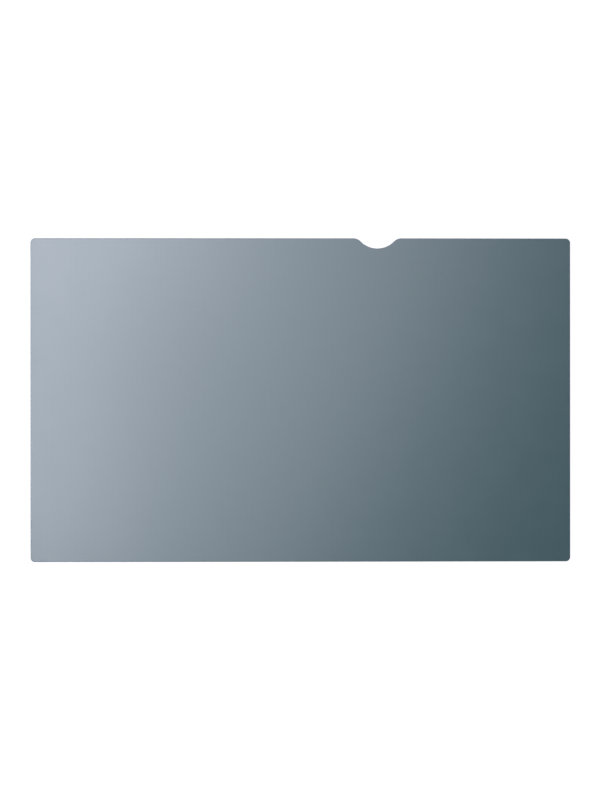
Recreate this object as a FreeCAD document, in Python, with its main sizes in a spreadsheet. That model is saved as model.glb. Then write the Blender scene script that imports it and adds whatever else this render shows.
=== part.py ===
# Privacy filter for a laptop screen: one thin laminated sheet with a thumb notch in its top edge.
#
# The sheet lies flat on its back face. X runs along its width, Y towards the notched top edge and
# Z out of its front face. The origin is the middle of the back face.
import FreeCAD, Part
import Sketcher
import os

# Driving dimensions, in millimetres
SIZES = {
    "sheet_width": 290.0,  # left edge to right edge
    "sheet_height": 173.8,  # bottom edge to top edge
    "sheet_thickness": 0.55,  # louver film and its two cover films, bonded into one sheet
    "corner_radius": 2.4,  # the four corners of the outline
    "notch_radius": 12.5,  # the punch that cuts the thumb notch
    "notch_depth": 5.45,  # top edge to the deepest point of the notch
    "notch_offset": 41.1,  # from the sheet's upright centre line to the notch, to the right
    "shoulder_radius": 5.3,  # where the notch rolls over into the top edge
    "edge_break": 0.12,  # rounding of the cut edge, along the front and the back face
}
NODE = "filter_sheet"
FIND_TOLERANCE = 1e-4


def size_sheet(doc):
    # One row for each driving dimension: its name in column A and its value in column B
    sheet = doc.addObject("Spreadsheet::Sheet", "sizes")
    for row, (alias, value) in enumerate(SIZES.items(), start=1):
        sheet.set(f"A{row}", alias)
        sheet.set(f"B{row}", str(value))
        sheet.setAlias(f"B{row}", alias)
    doc.recompute()
    return sheet


def flat_sketch(body, name):
    # A sketch on the plane of the sheet's back face
    sketch = body.newObject("Sketcher::SketchObject", name)
    planes = body.Origin.OriginFeatures
    back_plane = next(plane for plane in planes if plane.Role == "XY_Plane")
    sketch.AttachmentSupport = [(back_plane, "")]
    sketch.MapMode = "FlatFace"
    return sketch


def bind(sketch, constraint, name, expression):
    # Adds a dimension to a sketch and ties it to the size sheet
    index = sketch.addConstraint(constraint)
    sketch.renameConstraint(index, name)
    sketch.setExpression(f"Constraints.{name}", expression)


def draw_outline(body, sizes):
    # The sheet's rectangle, centred on the origin
    sketch = flat_sketch(body, "outline")
    half_width = sizes.sheet_width / 2
    half_height = sizes.sheet_height / 2
    corners = [
        FreeCAD.Vector(-half_width, -half_height),
        FreeCAD.Vector(half_width, -half_height),
        FreeCAD.Vector(half_width, half_height),
        FreeCAD.Vector(-half_width, half_height),
    ]
    sides = [Part.LineSegment(corners[i - 1], corners[i]) for i in range(len(corners))]
    left, bottom, right, top = sketch.addGeometry(sides)
    start, end = 1, 2
    origin = -1
    for side, following in ((left, bottom), (bottom, right), (right, top), (top, left)):
        sketch.addConstraint(Sketcher.Constraint("Coincident", side, end, following, start))
    for side in (bottom, top):
        sketch.addConstraint(Sketcher.Constraint("Horizontal", side))
    for side in (left, right):
        sketch.addConstraint(Sketcher.Constraint("Vertical", side))
    sketch.addConstraint(Sketcher.Constraint("Symmetric", bottom, start, top, start, origin, start))
    width = Sketcher.Constraint("DistanceX", bottom, start, bottom, end, 2 * half_width)
    bind(sketch, width, "width", "sizes.sheet_width")
    height = Sketcher.Constraint("DistanceY", right, start, right, end, 2 * half_height)
    bind(sketch, height, "height", "sizes.sheet_height")
    return sketch


def draw_notch(body, sizes):
    # The round punch, centred above the top edge so that it bites in by the notch's depth
    sketch = flat_sketch(body, "notch_punch")
    rise = sizes.sheet_height / 2 + sizes.notch_radius - sizes.notch_depth
    centre = FreeCAD.Vector(sizes.notch_offset, rise)
    axis = FreeCAD.Vector(0, 0, 1)
    punch = sketch.addGeometry(Part.Circle(centre, axis, sizes.notch_radius))
    origin, origin_point, punch_centre = -1, 1, 3
    radius = Sketcher.Constraint("Radius", punch, sizes.notch_radius)
    bind(sketch, radius, "radius", "sizes.notch_radius")
    along = Sketcher.Constraint("DistanceX", origin, origin_point, punch, punch_centre, centre.x)
    bind(sketch, along, "along", "sizes.notch_offset")
    up = Sketcher.Constraint("DistanceY", origin, origin_point, punch, punch_centre, centre.y)
    bind(sketch, up, "up", "sizes.sheet_height / 2 + sizes.notch_radius - sizes.notch_depth")
    return sketch


def upright_edges(feature, places):
    # The names of the edges that run through the sheet's thickness at these places of the outline
    names = []
    for number, edge in enumerate(feature.Shape.Edges, start=1):
        ends = [vertex.Point for vertex in edge.Vertexes]
        foot = FreeCAD.Vector(ends[0].x, ends[0].y)
        upright = all((FreeCAD.Vector(end.x, end.y) - foot).Length < FIND_TOLERANCE for end in ends)
        if upright and any((place - foot).Length < FIND_TOLERANCE for place in places):
            names.append(f"Edge{number}")
    if len(names) != len(places):
        raise RuntimeError(f"{feature.Name}: found {names} for {len(places)} places of the outline")
    return names


def broad_faces(feature):
    # The names of the front and the back face
    names = []
    for number, face in enumerate(feature.Shape.Faces, start=1):
        if abs(face.normalAt(0, 0).z) > 1 - FIND_TOLERANCE:
            names.append(f"Face{number}")
    return names


def round_off(doc, body, name, base, picked, size):
    # Rounds the picked edges, or the edges of the picked faces, to a size of the size sheet
    rounding = body.newObject("PartDesign::Fillet", name)
    rounding.Base = (base, picked)
    rounding.setExpression("Radius", f"sizes.{size}")
    doc.recompute()
    return rounding


def make_filter_sheet(doc, sizes):
    body = doc.addObject("PartDesign::Body", NODE)
    body.Label = NODE

    blank = body.newObject("PartDesign::Pad", "blank")
    blank.Profile = draw_outline(body, sizes)
    blank.setExpression("Length", "sizes.sheet_thickness")
    doc.recompute()

    # The punch's sketch lies on the back face, so the cut goes up through the sheet
    notch = body.newObject("PartDesign::Pocket", "thumb_notch")
    notch.Profile = draw_notch(body, sizes)
    notch.Type = "ThroughAll"
    notch.Reversed = True
    doc.recompute()
    if not notch.Shape.Volume < blank.Shape.Volume:
        raise RuntimeError("the thumb notch cut nothing")

    half_width = sizes.sheet_width / 2
    half_height = sizes.sheet_height / 2
    rise = sizes.notch_radius - sizes.notch_depth
    half_mouth = (sizes.notch_radius**2 - rise**2) ** 0.5
    mouth = [
        FreeCAD.Vector(sizes.notch_offset + side * half_mouth, half_height) for side in (-1, 1)
    ]
    shoulders = upright_edges(notch, mouth)
    shouldered = round_off(doc, body, "notch_shoulders", notch, shoulders, "shoulder_radius")

    corners = [
        FreeCAD.Vector(side * half_width, end * half_height) for side in (-1, 1) for end in (-1, 1)
    ]
    corner_edges = upright_edges(shouldered, corners)
    cornered = round_off(doc, body, "rounded_corners", shouldered, corner_edges, "corner_radius")

    broken = round_off(doc, body, "broken_edges", cornered, broad_faces(cornered), "edge_break")
    body.Tip = broken
    doc.recompute()
    return body


def check(doc, part):
    for item in doc.Objects:
        if "Invalid" in item.State or "Error" in item.State:
            raise RuntimeError(f"{item.Name} failed: {item.State}")
    shape = part.Shape
    if shape.isNull() or not shape.isValid() or len(shape.Solids) != 1:
        raise RuntimeError(f"{part.Label} isn't one valid solid")
    box = shape.optimalBoundingBox(False)
    print(f"{part.Label}: {box.XLength:.2f} x {box.YLength:.2f} x {box.ZLength:.2f} mm")
    print(f"{part.Label}: volume {shape.Volume:.1f} mm3 with {len(shape.Faces)} faces")


def main():
    doc = FreeCAD.newDocument("privacy_filter")
    sizes = size_sheet(doc)
    part = make_filter_sheet(doc, sizes)
    check(doc, part)
    os.makedirs("parts", exist_ok=True)
    part.Shape.exportStep(f"parts/{part.Label}.step")


main()
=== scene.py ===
# Privacy filter sheet for a laptop screen, lying on its back under three soft lamps
import math

import bmesh
import bpy
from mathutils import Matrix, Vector


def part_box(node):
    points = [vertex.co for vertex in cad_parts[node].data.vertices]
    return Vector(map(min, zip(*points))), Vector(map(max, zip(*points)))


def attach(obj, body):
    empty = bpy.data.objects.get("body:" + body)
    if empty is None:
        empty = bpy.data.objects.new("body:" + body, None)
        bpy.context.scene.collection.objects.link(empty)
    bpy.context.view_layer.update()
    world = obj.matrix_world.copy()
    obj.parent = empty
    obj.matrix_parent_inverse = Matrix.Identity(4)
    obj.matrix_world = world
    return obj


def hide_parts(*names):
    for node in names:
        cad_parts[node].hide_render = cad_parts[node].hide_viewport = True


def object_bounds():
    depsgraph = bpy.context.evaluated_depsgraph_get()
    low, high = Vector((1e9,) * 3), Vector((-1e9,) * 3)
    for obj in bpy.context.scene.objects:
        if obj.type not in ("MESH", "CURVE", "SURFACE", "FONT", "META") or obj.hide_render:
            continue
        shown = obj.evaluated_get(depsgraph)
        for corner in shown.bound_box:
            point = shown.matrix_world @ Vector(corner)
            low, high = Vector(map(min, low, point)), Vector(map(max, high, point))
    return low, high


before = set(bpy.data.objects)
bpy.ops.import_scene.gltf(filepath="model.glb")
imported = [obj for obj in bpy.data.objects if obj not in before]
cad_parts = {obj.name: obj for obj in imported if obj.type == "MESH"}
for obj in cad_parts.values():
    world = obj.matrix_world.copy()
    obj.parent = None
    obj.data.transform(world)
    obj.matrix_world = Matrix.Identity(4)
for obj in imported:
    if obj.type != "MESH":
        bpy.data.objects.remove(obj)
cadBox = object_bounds()
mm = 0.001  # the frame is in metres
print("frame loaded:", sorted(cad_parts))


def linearColour(hexCode):
    # sRGB hex to the linear RGBA that the sockets take
    shares = [int(hexCode[i : i + 2], 16) / 255 for i in (1, 3, 5)]
    linear = [s / 12.92 if s <= 0.04045 else ((s + 0.055) / 1.055) ** 2.4 for s in shares]
    return (*linear, 1.0)


def addNode(tree, kind, settings=None, links=None):
    # settings name a node's own property or an input, links feed inputs from outputs
    # Mix sockets go by number: inputs 0 share, 2 and 3 floats, 6 and 7 colours, outputs 0 float, 2 colour
    node = tree.nodes.new(kind)
    for name, value in (settings or {}).items():
        if isinstance(name, str) and hasattr(node, name):
            setattr(node, name, value)
        else:
            node.inputs[name].default_value = value
    for name, output in (links or {}).items():
        tree.links.new(output, node.inputs[name])
    return node


def newMaterial(name):
    # an empty tree with only its output in it
    material = bpy.data.materials.new(name)
    material.use_nodes = True
    tree = material.node_tree
    tree.nodes.clear()
    return material, tree, tree.nodes.new("ShaderNodeOutputMaterial")


def newPiece(name, bm, materials):
    # the modelled mesh as an object at the origin, with its materials in slot order
    mesh = bpy.data.meshes.new(name)
    bm.to_mesh(mesh)
    bm.free()
    for material in materials:
        mesh.materials.append(material)
    piece = bpy.data.objects.new(name, mesh)
    bpy.context.scene.collection.objects.link(piece)
    return piece


# The film's front: polycarbonate louver film under a satin hard coat. It gives the eye an even slate
# with a soft sheen, and close up the fine upright lines of the louvers.
frontFilm = {
    "slate": ("#4a6b6f", "#4e6f73"),  # over a louver in clear coat, and between two in haze
    "louverPitch": 1.6,  # mm; the real louvers are about 0.1 mm apart, too fine to show here
    "louverShare": 0.5,  # of the change in colour, the rest is the haze's
    "hazeSize": 14.0,  # mm; patches of the coat
    "hazeDetail": 3.0,  # octaves
    "hazeSpan": (0.3, 0.7),  # of the noise, from a clear coat to full haze
    "grainSize": 0.9,  # mm; the anti-glare grain is nearer 0.05 mm, too fine to show here
    "grainDetail": 1.0,  # octaves
    "grainHeight": 0.0012,  # mm
    "roughness": (0.276, 0.289),  # of a clear coat and of full haze
    "ior": 1.58,
}

# The film's back: the same film under a smooth cover film, so a shade darker with a clearer shine.
backFilm = {
    **frontFilm,
    "slate": ("#47686c", "#4b6c70"),
    "louverShare": 0.7,
    "grainHeight": 0.0002,
    "roughness": (0.16, 0.2),
}
waveSpan = 2 * math.pi / 20  # from one band of a Wave texture to the next, at a scale of 1


def filmMaterial(name, film):
    material, tree, output = newMaterial(name)
    coords = addNode(tree, "ShaderNodeTexCoord")
    place = coords.outputs["Object"]
    louvers = addNode(
        tree,
        "ShaderNodeTexWave",
        {"wave_type": "BANDS", "bands_direction": "X", "Scale": waveSpan / (film["louverPitch"] * mm)},
        {"Vector": place},
    )
    patches = addNode(
        tree,
        "ShaderNodeTexNoise",
        {"Scale": 1 / (film["hazeSize"] * mm), "Detail": film["hazeDetail"]},
        {"Vector": place},
    )
    noHaze, fullHaze = film["hazeSpan"]
    haze = addNode(
        tree,
        "ShaderNodeMapRange",
        {"From Min": noHaze, "From Max": fullHaze},
        {"Value": patches.outputs["Fac"]},
    )
    tone = addNode(
        tree,
        "ShaderNodeMix",
        {"data_type": "FLOAT", 0: film["louverShare"]},
        {2: haze.outputs["Result"], 3: louvers.outputs["Fac"]},
    )
    deep, pale = film["slate"]
    slate = addNode(
        tree,
        "ShaderNodeMix",
        {"data_type": "RGBA", 6: linearColour(deep), 7: linearColour(pale)},
        {0: tone.outputs[0]},
    )
    clear, satin = film["roughness"]
    roughness = addNode(
        tree,
        "ShaderNodeMapRange",
        {"To Min": clear, "To Max": satin},
        {"Value": haze.outputs["Result"]},
    )
    grain = addNode(
        tree,
        "ShaderNodeTexNoise",
        {"Scale": 1 / (film["grainSize"] * mm), "Detail": film["grainDetail"]},
        {"Vector": place},
    )
    bump = addNode(
        tree,
        "ShaderNodeBump",
        {"Distance": film["grainHeight"] * mm},
        {"Height": grain.outputs["Fac"]},
    )
    shader = addNode(
        tree,
        "ShaderNodeBsdfPrincipled",
        {"IOR": film["ior"]},
        {
            "Base Color": slate.outputs[2],
            "Roughness": roughness.outputs["Result"],
            "Normal": bump.outputs["Normal"],
        },
    )
    tree.links.new(shader.outputs["BSDF"], output.inputs["Surface"])
    return material


# The cut edge: the film's core sliced by the die, a dark line between the two paler cover films.
cutEdge = {
    "core": "#24282b",
    "cover": "#4b5357",
    "coverThickness": 0.1,  # mm, at the front and at the back
    "seamBlur": 0.0175,  # mm, how far core and cover run into each other
    "roughness": 0.32,
    "ior": 1.58,
}


def edgeMaterial(name, edge, thickness):
    material, tree, output = newMaterial(name)
    coords = addNode(tree, "ShaderNodeTexCoord")
    split = addNode(tree, "ShaderNodeSeparateXYZ", links={"Vector": coords.outputs["Object"]})
    fromMiddle = addNode(
        tree,
        "ShaderNodeMath",
        {"operation": "SUBTRACT", 1: thickness / 2},
        {0: split.outputs["Z"]},
    )
    reach = addNode(tree, "ShaderNodeMath", {"operation": "ABSOLUTE"}, {0: fromMiddle.outputs["Value"]})
    coreReach = thickness / 2 - edge["coverThickness"] * mm
    blur = edge["seamBlur"] * mm
    isCover = addNode(
        tree,
        "ShaderNodeMapRange",
        {"From Min": coreReach - blur, "From Max": coreReach + blur},
        {"Value": reach.outputs["Value"]},
    )
    layers = addNode(
        tree,
        "ShaderNodeMix",
        {"data_type": "RGBA", 6: linearColour(edge["core"]), 7: linearColour(edge["cover"])},
        {0: isCover.outputs["Result"]},
    )
    shader = addNode(
        tree,
        "ShaderNodeBsdfPrincipled",
        {"Roughness": edge["roughness"], "IOR": edge["ior"]},
        {"Base Color": layers.outputs[2]},
    )
    tree.links.new(shader.outputs["BSDF"], output.inputs["Surface"])
    return material


# The sheet: one outline, drawn as runs and arcs, given its thickness and then its edges. Sizes in mm.
sheetCut = {
    "cornerRadius": 2.4,
    "notchOffset": 41.1,  # the notch's middle, to the right of the sheet's
    "notchRadius": 12.5,
    "notchDepth": 5.45,
    "shoulderRadius": 5.3,  # where the notch runs out into the top edge
    "rollWidth": 0.6,  # the die drags the rim of the front face down a little
    "rollDepth": 0.012,
    "edgeBreak": 0.12,  # rounding of the cut, along the front and the back
    "cornerSteps": 12,
    "notchSteps": 36,
    "shoulderSteps": 18,
    "edgeSegments": 4,
}
weldGap = 0.001 * mm  # places and heights that differ by less are the same
wallRise = 0.5  # a wall's normal rises or falls by less than this
filmRise = 0.99  # a film's by more, also on its rolled rim


def runTo(bm, pen, x, y):
    # a straight run of the outline
    end = bmesh.ops.extrude_vert_indiv(bm, verts=[pen])["verts"][0]
    end.co = Vector((x, y, pen.co.z))
    return end


def arcRound(bm, pen, x, y, turn, steps):
    # a round stretch of the outline about x and y, turning left where turn is positive
    swept = bmesh.ops.spin(
        bm,
        geom=[pen],
        cent=Vector((x, y, pen.co.z)),
        axis=Vector((0, 0, 1)),
        angle=turn,
        steps=steps,
        use_duplicate=False,
    )
    return swept["geom_last"][0]


def sheetOutline(cut, low, high):
    corner = cut["cornerRadius"] * mm
    notch = cut["notchRadius"] * mm
    shoulder = cut["shoulderRadius"] * mm
    # what the corners, the notch and its shoulders turn about
    left, right = low.x + corner, high.x - corner
    bottom, top = low.y + corner, high.y - corner
    middle = (low.x + high.x) / 2 + cut["notchOffset"] * mm
    punchY = high.y + notch - cut["notchDepth"] * mm
    shoulderY = high.y - shoulder
    # a shoulder touches the top edge and the punched circle, so their centres are both radii apart
    halfMouth = math.sqrt((notch + shoulder) ** 2 - (punchY - shoulderY) ** 2)
    lean = math.asin(halfMouth / (notch + shoulder))
    quarter = math.radians(90)

    bm = bmesh.new()
    start = bm.verts.new((left, low.y, low.z))
    pen = runTo(bm, start, right, low.y)
    pen = arcRound(bm, pen, right, bottom, quarter, cut["cornerSteps"])
    pen = runTo(bm, pen, high.x, top)
    pen = arcRound(bm, pen, right, top, quarter, cut["cornerSteps"])
    pen = runTo(bm, pen, middle + halfMouth, high.y)
    pen = arcRound(bm, pen, middle + halfMouth, shoulderY, lean, cut["shoulderSteps"])
    pen = arcRound(bm, pen, middle, punchY, -2 * lean, cut["notchSteps"])
    pen = arcRound(bm, pen, middle - halfMouth, shoulderY, lean, cut["shoulderSteps"])
    pen = runTo(bm, pen, left, high.y)
    pen = arcRound(bm, pen, left, top, quarter, cut["cornerSteps"])
    pen = runTo(bm, pen, low.x, bottom)
    pen = arcRound(bm, pen, left, bottom, quarter, cut["cornerSteps"])
    bmesh.ops.remove_doubles(bm, verts=[pen, start], dist=weldGap)
    return bm


def filterSheet(cut):
    low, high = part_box("filter_sheet")
    thickness = high.z - low.z
    roll = cut["rollDepth"] * mm
    bm = sheetOutline(cut, low, high)
    back = bmesh.ops.contextual_create(bm, geom=bm.edges[:])["faces"][0]
    grown = bmesh.ops.extrude_face_region(bm, geom=[back])["geom"]
    rim = [item for item in grown if isinstance(item, bmesh.types.BMVert)]
    front = next(item for item in grown if isinstance(item, bmesh.types.BMFace))
    bmesh.ops.translate(bm, verts=rim, vec=Vector((0, 0, thickness - roll)))
    bmesh.ops.recalc_face_normals(bm, faces=bm.faces[:])
    # the front stands above its rim by the roll
    bmesh.ops.inset_region(
        bm,
        faces=[front],
        thickness=cut["rollWidth"] * mm,
        depth=roll,
        use_even_offset=True,
    )
    # the walls' level edges, along the front and the back, are broken
    arrises = [
        edge
        for edge in bm.edges
        if any(abs(face.normal.z) < wallRise for face in edge.link_faces)
        and abs(edge.verts[0].co.z - edge.verts[1].co.z) < weldGap
    ]
    bmesh.ops.bevel(
        bm,
        geom=arrises,
        offset=cut["edgeBreak"] * mm,
        offset_type="OFFSET",
        affect="EDGES",
        segments=cut["edgeSegments"],
        profile=0.5,
        material=-1,
        clamp_overlap=True,
    )
    bmesh.ops.recalc_face_normals(bm, faces=bm.faces[:])
    frontSlot, edgeSlot, backSlot = range(3)
    for face in bm.faces:
        isCut = abs(face.normal.z) < filmRise
        filmSlot = frontSlot if face.normal.z > 0 else backSlot
        face.material_index = edgeSlot if isCut else filmSlot
        face.smooth = isCut  # the films themselves stay flat
    materials = [
        filmMaterial("satinLouverFilm", frontFilm),
        edgeMaterial("cutFilmEdge", cutEdge, thickness),
        filmMaterial("smoothCoverFilm", backFilm),
    ]
    return newPiece("louverSheet", bm, materials)


sheet = filterSheet(sheetCut)
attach(sheet, "root")
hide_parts("filter_sheet")
print("sheet modelled:", len(sheet.data.polygons), "faces")


# Studio: a white floor, three soft lamps above the sheet, and light panels round the room that only
# the sheet's shine shows. Lengths in metres, angles in degrees.
studio = {
    "floorColour": "#f0f0ee",
    "floorSize": 12.0,
    "floorGap": 0.02 * mm,  # under the sheet
    "floorGlow": (0.5, 1.0),  # what the eye sees on top of the lamps' light, near the sheet and far off
    "glowReach": (0.1, 0.6),  # where the glow starts to grow and where it is full
    "backdrop": 1.0,  # what the camera sees past the floor
    "fill": 0.016,  # light from all round
    "panels": 4,
    "panelLevel": (0.1, 1.9),  # between two panels, and in the middle of one
    "panelTop": 0.5,  # where they start to fade, from 0 at the horizon to 1 straight up
    "ceilingStart": 0.88,  # where they have faded out, measured the same way
    "ceilingLevel": 0.016,
    "lampColour": "#f5f3ff",
}

lamps = {
    "stripSoftbox": {
        "at": (-0.235, 0.014, 0.7),
        "rotation": (6.6, 5.3, 0.0),
        "size": (0.15, 0.422),
        "watts": 1.5,
    },
    "cornerSoftbox": {
        "at": (-0.19, 0.2, 0.6),
        "rotation": (-9.4, -3.8, 0.0),
        "size": (0.3, 0.2),
        "watts": 0.829,
    },
    "overheadPanel": {
        "at": (-0.093, 0.089, 1.3),
        "rotation": (0.0, 0.0, -27.4),
        "size": (0.489, 0.814),
        "watts": 6.26,
    },
}


def waysOfSeeing(tree):
    # 1 where the camera looks straight at a thing, and 1 where it sees it in a shine or through glass
    path = addNode(tree, "ShaderNodeLightPath")
    shine = addNode(
        tree,
        "ShaderNodeMath",
        {"operation": "MAXIMUM"},
        {0: path.outputs["Is Glossy Ray"], 1: path.outputs["Is Transmission Ray"]},
    )
    return path.outputs["Is Camera Ray"], shine.outputs["Value"]


# The floor: a sweep of white paper, matt and even. It glows to the camera and in a shine, so that it
# looks plain white and the sheet gets no more light.
def paperMaterial(name, room):
    material, tree, output = newMaterial(name)
    paper = addNode(tree, "ShaderNodeBsdfDiffuse", {"Color": linearColour(room["floorColour"])})
    coords = addNode(tree, "ShaderNodeTexCoord")
    away = addNode(tree, "ShaderNodeVectorMath", {"operation": "LENGTH"}, {0: coords.outputs["Object"]})
    near, far = room["floorGlow"]
    grows, full = room["glowReach"]
    glowHere = addNode(
        tree,
        "ShaderNodeMapRange",
        {"From Min": grows, "From Max": full, "To Min": near, "To Max": far},
        {"Value": away.outputs["Value"]},
    )
    direct, shine = waysOfSeeing(tree)
    seen = addNode(tree, "ShaderNodeMath", {"operation": "MAXIMUM"}, {0: direct, 1: shine})
    glowLevel = addNode(
        tree,
        "ShaderNodeMath",
        {"operation": "MULTIPLY"},
        {0: seen.outputs["Value"], 1: glowHere.outputs["Result"]},
    )
    glow = addNode(tree, "ShaderNodeEmission", links={"Strength": glowLevel.outputs["Value"]})
    both = addNode(
        tree,
        "ShaderNodeAddShader",
        links={0: paper.outputs["BSDF"], 1: glow.outputs["Emission"]},
    )
    tree.links.new(both.outputs["Shader"], output.inputs["Surface"])
    return material


def studioFloor(room):
    bm = bmesh.new()
    bmesh.ops.create_grid(bm, x_segments=1, y_segments=1, size=room["floorSize"] / 2)
    bmesh.ops.translate(bm, verts=bm.verts[:], vec=Vector((0, 0, cadBox[0].z - room["floorGap"])))
    floor = newPiece("studioFloor", bm, [paperMaterial("whitePaperSweep", room)])


def studioRoom(room):
    world = bpy.data.worlds.new("studioRoom")
    bpy.context.scene.world = world
    world.use_nodes = True
    tree = world.node_tree
    tree.nodes.clear()
    coords = addNode(tree, "ShaderNodeTexCoord")
    heading = coords.outputs["Generated"]
    # upright panels: a wave round the compass, with its crests in their middles
    compass = addNode(tree, "ShaderNodeTexGradient", {"gradient_type": "RADIAL"}, {"Vector": heading})
    turn = addNode(
        tree,
        "ShaderNodeMath",
        {"operation": "MULTIPLY", 1: 2 * math.pi * room["panels"]},
        {0: compass.outputs["Fac"]},
    )
    swing = addNode(tree, "ShaderNodeMath", {"operation": "SINE"}, {0: turn.outputs["Value"]})
    gap, middle = room["panelLevel"]
    panels = addNode(
        tree,
        "ShaderNodeMapRange",
        {"From Min": -1.0, "From Max": 1.0, "To Min": gap, "To Max": middle},
        {"Value": swing.outputs["Value"]},
    )
    height = addNode(tree, "ShaderNodeSeparateXYZ", links={"Vector": heading})
    isCeiling = addNode(
        tree,
        "ShaderNodeMapRange",
        {
            "interpolation_type": "SMOOTHSTEP",
            "From Min": room["panelTop"],
            "From Max": room["ceilingStart"],
        },
        {"Value": height.outputs["Z"]},
    )
    around = addNode(
        tree,
        "ShaderNodeMix",
        {"data_type": "FLOAT", 3: room["ceilingLevel"]},
        {0: isCeiling.outputs["Result"], 2: panels.outputs["Result"]},
    )
    direct, shine = waysOfSeeing(tree)
    fillOrShine = addNode(
        tree,
        "ShaderNodeMix",
        {"data_type": "FLOAT", 2: room["fill"]},
        {0: shine, 3: around.outputs[0]},
    )
    level = addNode(
        tree,
        "ShaderNodeMix",
        {"data_type": "FLOAT", 3: room["backdrop"]},
        {0: direct, 2: fillOrShine.outputs[0]},
    )
    light = addNode(
        tree,
        "ShaderNodeBackground",
        {"Color": linearColour("#ffffff")},
        {"Strength": level.outputs[0]},
    )
    addNode(tree, "ShaderNodeOutputWorld", links={"Surface": light.outputs["Background"]})


def studioLamp(name, lamp, colour):
    light = bpy.data.lights.new(name, "AREA")
    light.shape = "RECTANGLE"
    light.size, light.size_y = lamp["size"]
    light.energy = lamp["watts"]
    light.color = linearColour(colour)[:3]
    holder = bpy.data.objects.new(name, light)
    holder.location = lamp["at"]
    holder.rotation_euler = [math.radians(angle) for angle in lamp["rotation"]]
    holder.visible_camera = False
    bpy.context.scene.collection.objects.link(holder)


studioFloor(studio)
studioRoom(studio)
for lampName, lamp in lamps.items():
    studioLamp(lampName, lamp, studio["lampColour"])
print("studio lit with", ", ".join(lamps))


# Camera: straight above the sheet, a touch to its left, which makes the left edge a hair taller
cameraView = {
    "lens": 100.0,  # mm
    "sensor": 36.0,  # mm
    "frameHeight": 429.8,  # mm of the sheet's plane over the picture's height
    "offset": -0.47,  # mm from the sheet's middle to the picture's
    "lean": 1.05,  # degrees to the left
    "roll": -0.02,  # degrees
}


def photoCamera(shot):
    aim = Vector((shot["offset"] * mm, 0, cadBox[1].z))
    distance = shot["frameHeight"] * mm * shot["lens"] / shot["sensor"]
    lean = math.radians(shot["lean"])
    data = bpy.data.cameras.new("photoCamera")
    data.lens = shot["lens"]
    data.sensor_width = shot["sensor"]
    camera = bpy.data.objects.new("photoCamera", data)
    camera.location = aim + distance * Vector((-math.sin(lean), 0, math.cos(lean)))
    camera.rotation_euler = (0, -lean, math.radians(shot["roll"]))
    bpy.context.scene.collection.objects.link(camera)
    bpy.context.scene.camera = camera


photoCamera(cameraView)
bpy.context.scene.view_settings.view_transform = "Standard"
print("camera set")
